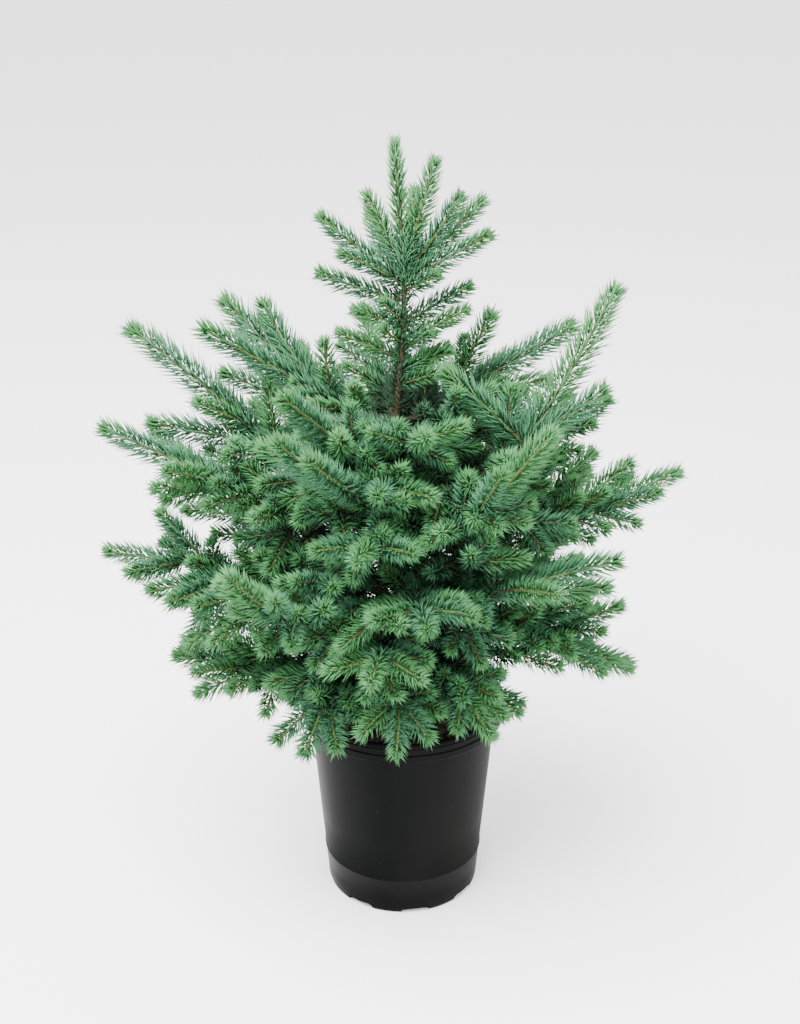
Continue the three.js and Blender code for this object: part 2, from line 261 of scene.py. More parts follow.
earth, surface = tinted("dark_compost", (0.02, 0.013, 0.008), 0.95)
nodes, links = earth.node_tree.nodes, earth.node_tree.links
place = nodes.new("ShaderNodeTexCoord").outputs["Object"]
crumbs = noise_of(nodes, links, place, 260, 5)
browns = [(0.35, (0.005, 0.003, 0.002)), (0.55, (0.016, 0.009, 0.005)), (0.72, (0.050, 0.028, 0.015))]
links.new(ramp_of(nodes, links, crumbs, browns), surface.inputs["Base Color"])
lumpy = nodes.new("ShaderNodeBump")
lumpy.inputs["Strength"].default_value = 0.9
lumpy.inputs["Distance"].default_value = 1.5 * MM
links.new(crumbs, lumpy.inputs["Height"])
links.new(lumpy.outputs["Normal"], surface.inputs["Normal"])
soil.data.materials.append(earth)
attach(soil, "root")
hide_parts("soil")

# ---- Bark chips on the compost -----------------------------------------------------------------
# Flakes of composted pine bark, reddish to grey-brown, a few millimetres long, scattered as they fell
# out of the mix and lying nearly flat.
CHIPS = 900
chip_rng = np.random.default_rng(11)
CHIP_FACES = np.array(
    [
        (0, 2, 1), (0, 3, 2), (4, 5, 6), (4, 6, 7), (0, 1, 5), (0, 5, 4),
        (1, 2, 6), (1, 6, 5), (2, 3, 7), (2, 7, 6), (3, 0, 4), (3, 4, 7),
    ]
)
CHIP_CORNERS = np.array(
    [(-1, -1, -1), (1, -1, -1), (1, 1, -1), (-1, 1, -1), (-1, -1, 1), (1, -1, 1), (1, 1, 1), (-1, 1, 1)],
    dtype=float,
)


def joined_mesh(name, corners, triangles, materials, dealt=None, smooth=True):
    """One object at the origin from arrays of corners (in millimetres) and of triangles between them."""
    mesh = bpy.data.meshes.new(name)
    corners = np.asarray(corners, dtype=np.float32).reshape(-1, 3) * MM
    triangles = np.asarray(triangles, dtype=np.int32).reshape(-1, 3)
    mesh.vertices.add(len(corners))
    mesh.vertices.foreach_set("co", corners.ravel())
    mesh.loops.add(triangles.size)
    mesh.loops.foreach_set("vertex_index", triangles.ravel())
    mesh.polygons.add(len(triangles))
    mesh.polygons.foreach_set("loop_start", np.arange(0, triangles.size, 3, dtype=np.int32))
    mesh.polygons.foreach_set("use_smooth", np.full(len(triangles), smooth))
    for material in materials:
        mesh.materials.append(material)
    if dealt is not None:
        mesh.polygons.foreach_set("material_index", np.asarray(dealt, dtype=np.int32))
    mesh.update(calc_edges=True)
    made = bpy.data.objects.new(name, mesh)
    bpy.context.collection.objects.link(made)
    return made


def copies(triangles, count, corners_each):
    """The triangles of many copies of one small shape."""
    step = np.arange(count)[:, None, None] * corners_each
    return (triangles[None] + step).reshape(-1, 3)


def turn_about_z(points, angle):
    """Rows of points turned about +Z, each block of rows by its own angle."""
    c, s = np.cos(angle)[:, None], np.sin(angle)[:, None]
    x, y = points[..., 0] * c - points[..., 1] * s, points[..., 0] * s + points[..., 1] * c
    return np.stack([x, y, points[..., 2]], axis=-1)


chip_sizes = chip_rng.uniform((1.2, 0.7, 0.3), (4.6, 2.6, 1.0), (CHIPS, 3))
chip_shapes = CHIP_CORNERS[None] * chip_sizes[:, None] + chip_rng.normal(0, 0.25, (CHIPS, 8, 3))
tips_up = chip_rng.normal(0, 0.22, (CHIPS, 1))
chip_shapes[..., 2] += chip_shapes[..., 0] * tips_up
chip_shapes = turn_about_z(chip_shapes, chip_rng.uniform(0, math.tau, CHIPS))
chip_out = np.sqrt(chip_rng.uniform(0.01, 0.93, CHIPS)) * SOIL_RADIUS / MM
chip_way = chip_rng.uniform(0, math.tau, CHIPS)
chip_rise = (SOIL_EDGE / MM) + 4 * (1 - (chip_out * MM / SOIL_RADIUS) ** 2) - 1.2
chip_place = np.stack([chip_out * np.cos(chip_way), chip_out * np.sin(chip_way), chip_rise], axis=-1)
red_bark = tinted("red_bark_chip", (0.058, 0.025, 0.012), 0.9)[0]
brown_bark = tinted("brown_bark_chip", (0.027, 0.016, 0.009), 0.9)[0]
grey_bark = tinted("grey_bark_chip", (0.065, 0.048, 0.033), 0.9)[0]
chips = joined_mesh(
    "bark_chips",
    chip_shapes + chip_place[:, None],
    copies(CHIP_FACES, CHIPS, 8),
    [red_bark, brown_bark, grey_bark],
    np.repeat(chip_rng.choice(3, CHIPS, p=[0.3, 0.5, 0.2]), len(CHIP_FACES)),
    smooth=False,
)
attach(chips, "root")

# ---- The trunk -------------------------------------------------------------------------------
# One slender leading stem that sways a little, flares at its foot and tapers to the topmost bud. Its
# bark is scaly and dark brown low down, golden brown above, and studded with the pegs of old needles.
trunk_low, trunk_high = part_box("trunk")
TRUNK_FOOT, TRUNK_TIP = trunk_low.z / MM, trunk_high.z / MM
TRUNK_BENDS = [0, -5, -9, 1, -8]  # sideways lean at even steps from foot to tip
TRUNK_SIDES = 22
TRUNK_RINGS = 330
RING_CROWDING = 1.2  # rings lie closer together in the root flare
ROOT_RADIUS, TIP_RADIUS, TAPER = 9.46, 1.548, 0.62
FLARE_RADIUS, FLARE_HEIGHT = 5.16, 12


def trunk_share(z):
    return min(max((z - TRUNK_FOOT) / (TRUNK_TIP - TRUNK_FOOT), 0.0), 1.0)


def trunk_centre(z):
    """The trunk's middle at a height, on a smooth curve through its bends."""
    steps = len(TRUNK_BENDS) - 1
    along = trunk_share(z) * steps
    i = min(int(along), steps - 1)
    t = along - i
    b, c = TRUNK_BENDS[i], TRUNK_BENDS[i + 1]
    a = TRUNK_BENDS[i - 1] if i > 0 else 2 * b - c
    d = TRUNK_BENDS[i + 2] if i + 2 <= steps else 2 * c - b
    bend = (2 * a - 5 * b + 4 * c - d) * t**2 + (3 * b - a - 3 * c + d) * t**3
    return np.array([b + ((c - a) * t + bend) / 2, 0.0, z])


def trunk_radius(z):
    taper = ROOT_RADIUS + (TIP_RADIUS - ROOT_RADIUS) * trunk_share(z) ** TAPER
    return taper + FLARE_RADIUS * math.exp(-(z - TRUNK_FOOT) / FLARE_HEIGHT)


def across(aim):
    """Two level directions across an array of unit vectors: the more upright one, and one beside it."""
    aim = np.asarray(aim, dtype=float)
    world_up = np.where(np.abs(aim[..., 2:3]) > 0.97, (0.0, 1.0, 0.0), (0.0, 0.0, 1.0))
    side = np.cross(aim, world_up)
    side /= np.linalg.norm(side, axis=-1, keepdims=True)
    return np.cross(side, aim), side


def tube_corners(path, radii, sides, relief=None):
    """Corners of a closed tube along a path, ring by ring with an end point at either end."""
    path = np.asarray(path, dtype=float)
    aim = np.gradient(path, axis=0)
    aim /= np.linalg.norm(aim, axis=1, keepdims=True)
    up, side = across(aim)
    angle = np.arange(sides) * math.tau / sides
    spokes = np.cos(angle)[None, :, None] * up[:, None] + np.sin(angle)[None, :, None] * side[:, None]
    reach = np.asarray(radii, dtype=float)[:, None] * np.ones(sides)
    rings = path[:, None] + spokes * reach[..., None]
    if relief is not None:
        lift = np.array([[relief(Vector(point)) for point in ring] for ring in rings])
        rings = path[:, None] + spokes * (reach * (1 + lift))[..., None]
    ends = np.stack([path[0] - aim[0] * radii[0] * 0.4, path[-1] + aim[-1] * radii[-1] * 0.8])
    return np.concatenate([rings.reshape(-1, 3), ends])


def tube_triangles(rings, sides):
    """Triangles of such a tube, with their faces turned outward."""
    triangles = []
    for ring in range(rings - 1):
        for i in range(sides):
            a, b = ring * sides + i, ring * sides + (i + 1) % sides
            triangles += [(a, b, a + sides), (b, b + sides, a + sides)]
    foot, tip, last = rings * sides, rings * sides + 1, (rings - 1) * sides
    for i in range(sides):
        following = (i + 1) % sides
        triangles += [(foot, following, i), (tip, last + i, last + following)]
    return np.array(triangles)


def join_tubes(tubes):
    """Corners and triangles of many tubes, each a (path, radii, sides, relief) row."""
    corners, triangles, made = [], [], 0
    for path, radii, sides, relief in tubes:
        corners.append(tube_corners(path, radii, sides, relief))
        triangles.append(tube_triangles(len(path), sides) + made)
        made += len(corners[-1])
    return np.concatenate(corners), np.concatenate(triangles)


def bark_scales(depth, size):
    """Raised scales of bark, longer than they are wide, as a function of place in millimetres."""

    def relief(point):
        stretched = Vector((point.x, point.y, point.z * 0.45)) / size
        plates = abs(noise.noise(stretched)) * 2 - 0.5
        return depth * (plates + 0.5 * noise.noise(stretched * 3.1))

    return relief


levels = TRUNK_FOOT + (TRUNK_TIP - TRUNK_FOOT) * np.linspace(0, 1, TRUNK_RINGS) ** RING_CROWDING
trunk_path = np.array([trunk_centre(z) for z in levels])
trunk_radii = [trunk_radius(z) for z in levels]
corners, triangles = join_tubes([(trunk_path, trunk_radii, TRUNK_SIDES, bark_scales(0.13, 4.5))])

bark, surface = tinted("trunk_bark", (0.12, 0.07, 0.03), 0.85)
nodes, links = bark.node_tree.nodes, bark.node_tree.links
place = nodes.new("ShaderNodeTexCoord").outputs["Object"]
height = nodes.new("ShaderNodeSeparateXYZ")
links.new(place, height.inputs["Vector"])
rise = nodes.new("ShaderNodeMapRange")
rise.inputs["From Min"].default_value = 0.2
rise.inputs["From Max"].default_value = 0.84
links.new(height.outputs["Z"], rise.inputs["Value"])
AGES = [
    (0.0, (0.010, 0.008, 0.005)),
    (0.40, (0.018, 0.012, 0.006)),
    (0.55, (0.040, 0.029, 0.011)),
    (0.76, (0.050, 0.040, 0.014)),
    (1.0, (0.048, 0.064, 0.016)),
]
by_age = ramp_of(nodes, links, rise.outputs["Result"], AGES)


def bark_group():
    """A shader group of bark's cracks: a mask for its dark clefts, and its height."""
    group = bpy.data.node_groups.new("bark_cracks", "ShaderNodeTree")
    group.interface.new_socket("Place", in_out="INPUT", socket_type="NodeSocketVector")
    group.interface.new_socket("Scale", in_out="INPUT", socket_type="NodeSocketFloat")
    group.interface.new_socket("Clefts", in_out="OUTPUT", socket_type="NodeSocketFloat")
    group.interface.new_socket("Height", in_out="OUTPUT", socket_type="NodeSocketFloat")
    inside, between = group.nodes, group.links
    entry, leave = inside.new("NodeGroupInput"), inside.new("NodeGroupOutput")
    mapping = inside.new("ShaderNodeMapping")
    mapping.inputs["Scale"].default_value = (1, 1, 0.4)
    between.new(entry.outputs["Place"], mapping.inputs["Vector"])
    texture = inside.new("ShaderNodeTexNoise")
    texture.inputs["Detail"].default_value = 5
    between.new(mapping.outputs["Vector"], texture.inputs["Vector"])
    between.new(entry.outputs["Scale"], texture.inputs["Scale"])
    mask = inside.new("ShaderNodeMapRange")
    mask.inputs["From Min"].default_value = 0.56
    mask.inputs["From Max"].default_value = 0.40
    between.new(texture.outputs["Fac"], mask.inputs["Value"])
    between.new(mask.outputs["Result"], leave.inputs["Clefts"])
    between.new(texture.outputs["Fac"], leave.inputs["Height"])
    return group


BARK_CRACKS = bark_group()


def add_cracks(material, place, scale, colour, surface, strength):
    """Darkens a bark colour in its clefts and lifts the scales between them."""
    nodes, links = material.node_tree.nodes, material.node_tree.links
    cracks = nodes.new("ShaderNodeGroup")
    cracks.node_tree = BARK_CRACKS
    links.new(place, cracks.inputs["Place"])
    cracks.inputs["Scale"].default_value = scale
    darken = nodes.new("ShaderNodeMix")
    darken.data_type = "RGBA"
    darken.blend_type = "MULTIPLY"
    darken.inputs["B"].default_value = (0.34, 0.30, 0.28, 1)
    links.new(cracks.outputs["Clefts"], darken.inputs["Factor"])
    links.new(colour, darken.inputs["A"])
    links.new(darken.outputs["Result"], surface.inputs["Base Color"])
    bump = nodes.new("ShaderNodeBump")
    bump.inputs["Strength"].default_value = strength
    bump.inputs["Distance"].default_value = 0.8 * MM
    links.new(cracks.outputs["Height"], bump.inputs["Height"])
    links.new(bump.outputs["Normal"], surface.inputs["Normal"])


add_cracks(bark, place, 240, by_age, surface, 0.8)
trunk = joined_mesh("trunk_stem", corners, triangles, [bark])
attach(trunk, "root")
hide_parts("trunk")

# ---- The boughs ------------------------------------------------------------------------------
# The old wood of each bough: a limb two to four years old that leaves the trunk in a loose whorl, sags a
# little and rises to the knot where its last shoots fan out. The bark is brown and finely scaled.
BOUGH_SIDES = 9
BOUGH_RINGS = 34
SAG, BEND = 0.05, 0.55  # a share of the reach, and where along it
# name, start height, heading (0 = +X, 90 = +Y), reach, lift, then its last shoot: length, turn, pitch, and
# the side shoots: angle to the left, angle to the right, share of its length
LIMBED_BOUGHS = [
    ("upper_left", 545, 167, 88, 30, 141, -19, 34, 43, 22, 0.92),
    ("upper_front_left", 540, 238, 106, 12, 106, -11, 42, 40, 34, 0.66),
    ("upper_right", 545, 41, 92, 23, 138, -10, 19, 22, 47, 0.66),
    ("mid_left_riser", 440, 173, 156, 94, 162, -10, 36, 38, 20, 0.4),
    ("mid_left", 440, 186, 195, 54, 121, -6, 27, 67, 42, 0.8),
    ("mid_front_left", 430, 251, 127, 84, 127, -28, 39, 18, 34, 0.84),
    ("mid_right_riser", 430, 332, 136, 119, 179, 68, 48, 130, 30, 0.56),
    ("mid_front_right", 400, 299, 149, 100, 121, 30, 52, 32, 40, 0.65),
    ("mid_right", 440, 5, 208, 3, 93, 8, 22, 38, 28, 0.68),
    ("mid_back_right", 435, 36, 175, 53, 96, -46, 34, 62, 24, 0.85),
    ("mid_back_left", 440, 132, 165, 80, 125, 0, 28, 40, 38, 0.74),
    ("low_left", 340, 180, 233, 51, 80, 0, 9, 36, 72, 0.82),
    ("low_front_left", 340, 230, 188, 57, 93, 0, 45, 40, 40, 0.76),
    ("low_front_right", 340, 314, 153, 71, 110, 35, 21, 30, 45, 0.7),
    ("low_right", 330, 350, 168, -6, 70, 10, 24, 34, 36, 0.8),
]
# clothed in needles all the way from the trunk
CLOTHED_BOUGHS = [
    ("upper_front", 535, 276, 88, 22, 64, 6, 26, 60, 60, 0.85),
    ("upper_back", 545, 105, 85, 25, 95, 0, 35, 45, 45, 0.6),
    ("core_front", 480, 262, 108, 40, 66, 0, 14, 54, 54, 0.95),
    ("mid_front", 430, 258, 138, 40, 72, 0, 12, 46, 46, 0.9),
    ("mid_front_low", 385, 276, 148, 22, 70, 0, 10, 46, 50, 0.9),
    ("low_front", 335, 262, 150, 25, 72, 0, 4, 46, 50, 0.9),
    ("low_left_under", 330, 201, 170, 26, 68, 0, -12, 34, 40, 0.85),
    ("skirt_left", 280, 187, 160, -2, 84, -5, 8, 34, 36, 0.85),
    ("skirt_front_left", 265, 230, 122, 16, 87, 27, -12, 22, 26, 0.93),
    ("skirt_front", 262, 268, 124, 34, 70, 0, -23, 36, 36, 0.85),
    ("skirt_front_right", 262, 300, 118, 34, 66, 0, -24, 32, 34, 0.85),
    ("skirt_right", 272, 346, 165, 42, 86, 14, -20, 40, 33, 0.7),
    ("skirt_right_inner", 250, 332, 98, 10, 44, -4, -18, 14, 30, 0.9),
    ("mid_back", 425, 84, 168, 66, 112, 0, 28, 38, 38, 0.8),
    ("low_back_left", 345, 146, 200, 50, 100, 0, 15, 40, 38, 0.8),
    ("low_back", 335, 94, 205, 44, 100, 0, 12, 38, 38, 0.8),
    ("low_back_right", 345, 43, 200, 45, 100, 0, 12, 38, 42, 0.8),
    ("skirt_back_right", 270, 62, 158, 14, 90, 0, -8, 42, 42, 0.85),
    ("skirt_back_left", 270, 124, 158, 14, 90, 0, -8, 42, 42, 0.85),
]
BOUGHS = LIMBED_BOUGHS + CLOTHED_BOUGHS


def direction(heading, pitch):
    h, p = math.radians(heading), math.radians(pitch)
    return np.array([math.cos(p) * math.cos(h), math.cos(p) * math.sin(h), math.sin(p)])


def bough_point(row, t):
    """A place along a bough's old wood, from the trunk at 0 to its last knot at 1."""
    start, heading, reach, lift = row[1:5]
    root = trunk_centre(start)
    knot = direction(heading, 0) * reach + (0, 0, start + lift)
    sag = root + (knot - root) * BEND - (0, 0, SAG * reach)
    t = np.asarray(t, dtype=float)[..., None]
    return root * (1 - t) ** 2 + sag * 2 * t * (1 - t) + knot * t**2


tubes = []
KNOT_RADIUS, COLLAR = 1.9, 1.6  # its radius at the knot, and how much it swells where it leaves the trunk
for row in BOUGHS:
    thick = 2.6 + row[3] * 0.0095  # a longer bough is stouter at the trunk
    t = np.linspace(0, 1, BOUGH_RINGS)
    radii = thick + (KNOT_RADIUS - thick) * t**0.8 + COLLAR * np.exp(-t * 22)
    tubes.append((bough_point(row, t), radii, BOUGH_SIDES, bark_scales(0.2, 3.0)))
corners, triangles = join_tubes(tubes)
wood, surface = tinted("bough_bark", (0.09, 0.055, 0.028), 0.88)
nodes, links = wood.node_tree.nodes, wood.node_tree.links
place = nodes.new("ShaderNodeTexCoord").outputs["Object"]
patches = noise_of(nodes, links, place, 45, 3)
warm = ramp_of(nodes, links, patches, [(0.35, (0.016, 0.010, 0.006)), (0.65, (0.042, 0.027, 0.012))])
add_cracks(wood, place, 300, warm, surface, 0.7)
boughs = joined_mesh("old_wood", corners, triangles, [wood])
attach(boughs, "root")
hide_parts(*sorted(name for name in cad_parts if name.startswith("bough_")))

# ---- The shoots ------------------------------------------------------------------------------
# This and last year's growth: straight, springy stems, orange-brown where they leave the wood and
# yellow-green towards the bud. Each bough ends in a fan of three, and short ones crowd along it.
TRUNK_SPRAYS = {
    "top_left": [(712, 150, 78, 58), (700, 184, 101, 38), (694, 200, 73, 30)],
    "top_right": [(714, 8, 104, 73), (704, 6, 93, 54), (702, 28, 110, 37), (696, 345, 98, 32)],
    "top_back": [(706, 80, 95, 45), (698, 118, 90, 36)],
    "stem_left_high": [(678, 186, 87, 20)],
    "stem_left_low": [(650, 194, 53, 23), (618, 176, 66, 22)],
    "stem_right_high": [(653, 9, 74, 29), (638, 352, 70, 27)],
    "stem_right_low": [(604, 8, 52, 27), (590, 336, 60, 24)],
}  # height on the trunk, heading, length, pitch
SHORT_TRUNK_SHOOTS = [
    (688, 327, 42, 29), (655, 223, 37, 44), (634, 221, 33, 34), (628, 334, 37, 30), (604, 0, 53, 23),
]
TRUNK_BRUSH = (12.5, 0.052)  # a brush's radius on the trunk: at no length, and more for each millimetre
LEADER_FROM = 716
LEADER_BRUSH = 16.5
# Pairs further in: place on the bough, share of its whole length, angle off it. A bough with bare wood at
# the trunk carries both, and one upright shoot.
PAIRS = [(0.74, 0.26, 50), (0.5, 0.29, 58)]
# Single shoots that the fans leave out: place on the bough, heading, pitch, length.
SINGLES = {
    "core_front": [(0.6, 18, 3, 55)],
    "upper_front": [(0.7, 18, -10, 74)],
    "mid_front_low": [(0.5, 217, 48, 44)],
    "mid_front_right": [(0.4, 55, 73, 63)],
    "upper_left": [(1.0, 141, 46, 110), (0.4, 254, 53, 49)],
    "mid_left_riser": [(0.85, 174, 8, 128)],
    "mid_left": [(1.0, 225, 8, 75), (0.6, 199, 48, 56), (0.85, 165, 26, 74), (0.9, 213, 0, 74)],
    "low_left": [
        (0.85, 170, 48, 82), (0.7, 214, 8, 109), (0.75, 237, 6, 102), (0.6, 238, 10, 114),
        (0.5, 216, 45, 81), (0.3, 219, 39, 113), (0.15, 223, 41, 116), (0.8, 228, -53, 86),
        (1.0, 213, -2, 52), (0.4, 234, 46, 86),
    ],
    "skirt_left": [
        (1.0, 198, -21, 68), (0.85, 263, -23, 64), (0.7, 215, -4, 81), (0.55, 253, -7, 73),
        (0.7, 263, -2, 66), (0.9, 165, 2, 98), (0.7, 203, 33, 76),
    ],
    "upper_right": [(0.7, 355, 65, 100)],
    "mid_right_riser": [(0.85, 73, 36, 84), (0.95, 70, 27, 72)],
    "mid_back_right": [(0.7, 345, 10, 75), (0.9, 331, 12, 70)],
    "mid_right": [
        (0.8, 30, 25, 97), (0.6, 32, 31, 105), (0.95, 322, 2, 58), (0.7, 322, -9, 62), (0.55, 13, 58, 78),
    ],
    "low_front_right": [(0.9, 5, 0, 108), (0.75, 21, 23, 73)],
    "low_right": [(0.6, 340, 25, 104), (0.45, 311, 35, 73), (0.75, 354, 36, 87)],
    "skirt_right": [(1.0, 19, -24, 97), (0.7, 329, -3, 58)],
}
UPRIGHT_AT, UPRIGHT_PITCH, UPRIGHT_SHARE = 0.84, 84, 0.42
BRUSH = (12, 0.087, 26)  # a brush's radius: at no length, more for each millimetre, and at most
BOW = 0.016  # how far a stem bows, as a share of its length
STEM_SIDES = 5
# The short shoots of the branching rule: angle off the bough, pitch, length, and the space between them.
SHORT_ANGLE, SHORT_PITCH, SHORT_LENGTH, SHORT_SPACE = (42, 74), (-14, 42), (34, 58), (10, 17)
STEEP = 24  # degrees; steeper ones stand closer to the bough
growth_rng = np.random.default_rng(4)


def wobble(n):
    """A fixed, repeatable unevenness from -1 to 1 for any number."""
    s = math.sin(n * 12.9898) * 43758.5453
    return 2 * (s - math.floor(s)) - 1


def shoot(base, heading, pitch, length, rank, brush=None):
    """One shoot. Its rank is how far out it grows: 2 for a bough's last fan, 1 along it, 0 deep inside."""
    base = np.asarray(base, dtype=float)
    aim = direction(heading, pitch)
    if brush is None:
        brush = min(BRUSH[0] + BRUSH[1] * length, BRUSH[2])
    bow = growth_rng.normal(0, BOW, 3) * length
    tip = base + aim * length
    return {"base": base, "tip": tip, "bow": bow, "length": length, "rank": rank, "brush": brush}


def stem_point(s, t):
    """A place along a shoot's stem: straight from base to tip, bowed a little between."""
    t = np.asarray(t, dtype=float)[..., None]
    return s["base"] + (s["tip"] - s["base"]) * t + s["bow"] * 4 * t * (1 - t)


def bough_shoots(row, number):
    """The shoots of a bough's plan, and short ones that the branching rule sets between them."""
    name, start, heading, reach, lift, length, turn, pitch, left, right, share = row
    limbed = number < len(LIMBED_BOUGHS)
    knot = bough_point(row, 1)
    grown = [shoot(knot, heading + turn, pitch, length, 2)]
    for side, fan in ((1, left), (-1, right)):
        j = wobble(31 * number + side)
        size = length * (share + 0.05 * j)
        grown.append(shoot(knot, heading + turn + side * fan, 0.8 * pitch + 6 * j, size, 2))
        for at, part, angle in PAIRS if limbed else PAIRS[:1]:
            if name == "skirt_right" and side < 0:
                continue  # nothing grows down over the pot's mouth there
            k = wobble(31 * number + 10 * side * at)
            size = (reach + length) * (part + 0.03 * k)
            way = heading + side * (angle + 6 * k)
            grown.append(shoot(bough_point(row, at), way, 0.5 * pitch + 10 * k, size, 1))
    for at, way, tilt, size in SINGLES.get(name, []):
        grown.append(shoot(bough_point(row, at), way, tilt, size, 2))
    if limbed:
        way = heading + 20 * wobble(31 * number + 5)
        base = bough_point(row, UPRIGHT_AT)
        grown.append(shoot(base, way, UPRIGHT_PITCH, length * UPRIGHT_SHARE, 1))
    side = 1 if growth_rng.random() < 0.5 else -1
    at = 0.16 if reach > 120 else 0.3
    while at < 0.97:
        side = -side
        out = growth_rng.uniform(*SHORT_ANGLE)
        tilt = growth_rng.uniform(*SHORT_PITCH)
        size = growth_rng.uniform(*SHORT_LENGTH)
        if tilt > STEEP:
            out *= 0.5
        if name.startswith("skirt_right"):
            tilt = abs(tilt)
        rank = 1 if at > 0.55 else 0
        grown.append(shoot(bough_point(row, at), heading + side * out, tilt, size, rank))
        at += growth_rng.uniform(*SHORT_SPACE) / reach
    return grown


shoots = {}  # by the name of what bears them
leader = shoot(trunk_centre(LEADER_FROM), 0, 90, TRUNK_TIP - LEADER_FROM, 2, LEADER_BRUSH)
leader["tip"] = trunk_centre(TRUNK_TIP)
leader["bow"] = leader["bow"] * 0.2
shoots["leader"] = [leader]
for name, rows in TRUNK_SPRAYS.items():
    shoots[name] = []
    for z, way, size, tilt in rows:
        brush = TRUNK_BRUSH[0] + TRUNK_BRUSH[1] * size
        shoots[name].append(shoot(trunk_centre(z), way, tilt, size, 2, brush))
shoots["stem_short"] = []
for z, way, size, tilt in SHORT_TRUNK_SHOOTS:
    shoots["stem_short"].append(shoot(trunk_centre(z), way, tilt, size, 2))
for number, row in enumerate(BOUGHS):
    shoots[row[0]] = bough_shoots(row, number)

# The inner crown: a spiral of short boughs up the trunk, whose wood isn't drawn, each with a pair of short
# shoots at two places along it and a fan of three at its end.
INNER_FROM, INNER_TO, INNER_STEP = 236, 560, 5.2
INNER_LAYERS = (330, 430)  # the heights that part the low, the middle and the high ones
INNER_REACH = [(230, 96), (290, 135), (370, 160), (450, 150), (520, 96), (560, 62)]  # by height
inner_boughs = 0
z = INNER_FROM
while z < INNER_TO:
    spiral = inner_boughs * 137.5 + growth_rng.uniform(-16, 16)
    reach = np.interp(z, *zip(*INNER_REACH)) * growth_rng.uniform(0.6, 1)
    row = ("inner", z, spiral, reach, reach * growth_rng.uniform(0.02, 0.36))
    inner_boughs += 1
    grown = []
    for at in (0.45, 0.7, 1.0):
        fan = (-52, 50) if at < 1 else (-40, 0, 40)
        for turn in fan:
            way = spiral + turn + growth_rng.uniform(-14, 14)
            size = growth_rng.uniform(40, 62) * (1 if at == 1 else 0.8)
            tilt = growth_rng.uniform(-24, 50)
            grown.append(shoot(bough_point(row, at), way, tilt, size, 1 if at == 1 else 0))
    layer = ("low", "middle", "high")[np.searchsorted(INNER_LAYERS, z, side="right")]
    shoots[f"inner_{layer}_{inner_boughs}"] = grown
    z += INNER_STEP


def over_rim(s):
    """Whether a small shoot hangs over the pot's mouth at the right, where the rim is bare."""
    x, y, z = s["tip"]
    return s["rank"] < 2 and x > 92 and -100 < y < 60 and z < 288


shoots = {name: [s for s in grown if not over_rim(s)] for name, grown in shoots.items()}

tubes, dealt = [], []
STEM_RINGS = 7
STEM_TIP = 1.15  # a stem's radius at its bud
for s in [s for grown in shoots.values() for s in grown if s is not leader]:
    t = np.linspace(0, 1, STEM_RINGS)
    thick = 1.4 + 0.0035 * s["length"]
    tubes.append((stem_point(s, t), thick + (STEM_TIP - thick) * t, STEM_SIDES, None))
    ring_of = np.repeat(np.arange(STEM_RINGS - 1), 2 * STEM_SIDES)
    young = np.where(ring_of < 2, 1, 2) if s["rank"] == 2 else np.where(ring_of < 3, 0, 1)
    dealt.append(np.concatenate([young, np.full(2 * STEM_SIDES, young[-1])]))
corners, triangles = join_tubes(tubes)
brown_twig = tinted("brown_twig", (0.045, 0.032, 0.012), 0.8)[0]
tan_twig = tinted("tan_twig", (0.078, 0.080, 0.020), 0.7)[0]
green_twig = tinted("green_twig", (0.084, 0.135, 0.024), 0.6)[0]
twigs = joined_mesh("twigs", corners, triangles, [brown_twig, tan_twig, green_twig], np.concatenate(dealt))
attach(twigs, "root")

# ---- The needles -----------------------------------------------------------------------------
# Stiff, sharp needles set in spirals all round every stem: they lean towards the bud, are shorter and closer
# at the tip, and turn up towards the light. Their wax makes them bluest along a shoot. At its tip they are a
# paler, fresher green. Towards a stem's foot and deep inside the crown their tints are darker: painted
# shade, and deep inside also the duller colour of older needles.
GOLDEN_TURN = math.radians(137.5)
NEEDLE_TRIANGLES = np.array([(1, 2, 4), (2, 3, 4), (3, 1, 4), (2, 1, 0), (3, 2, 0), (1, 3, 0)])
NEEDLE_RADIUS = 1.0
NEEDLE_LENGTH = 1.20  # as a share of the brush's radius
WAIST = 0.42  # where along a needle it is thickest and bends
PER_MILLIMETRE = (1.9, 2.1, 2.3)  # needles on a shoot of each rank
ROSETTE, ROSETTE_DEPTH = 26, 4  # needles round each bud, and how far back they start
OLD_WOOD_BRUSH, OLD_WOOD_DENSITY = 12, 1.6
BARE_LIMBED, BARE_CLOTHED = 0.4, 0.06  # the share of a bough, from the trunk, without needles
TRUNK_CLOTHED = (560, 720)  # the heights between which the trunk bears its own needles
TRUNK_NEEDLES, TRUNK_DENSITY = 15, 1.9
# Degrees off the stem, how much less at its tip, how late that comes, and the unevenness.
LEAN, LEAN_LESS, LEAN_POWER, LEAN_SPREAD = 58, 17, 1.6, 4.5
BUD_LEAN = (8, 55)
LEADER_LEAN = 0.8  # its needles stand closer, by this share
TO_LIGHT = 0.30  # how much they turn up round a level stem
CURL, CURL_UP = 0.24, 0.10  # how much a needle's outer part turns towards the tip, and up
FIRST_STRETCH, LAST_STRETCH = 0.15, 0.25  # the shares of a stem where needles lengthen and shorten
AT_BUD_LENGTH = 0.74
LIGHTER_SHARE = 0.45  # the share of stems that take the lighter tint of each pair
FOOT_TINT, TIP_TINT = 0.22, 0.8  # where along a stem the tints change
MOUTH_INSIDE = 96  # the pot's rim, from inside; needles don't pass through it
TINTS = [
    # the deep tint is painted shade for the inner crown, and the duller colour of older needles as well
    ("deep_needles", (0.0058, 0.0295, 0.0092)),
    ("teal_needles", (0.0145, 0.0680, 0.0260)),
    ("blue_needles", (0.0300, 0.1190, 0.0530)),
    ("green_needles", (0.0355, 0.1400, 0.0410)),
    ("mint_needles", (0.0540, 0.1830, 0.0610)),
]
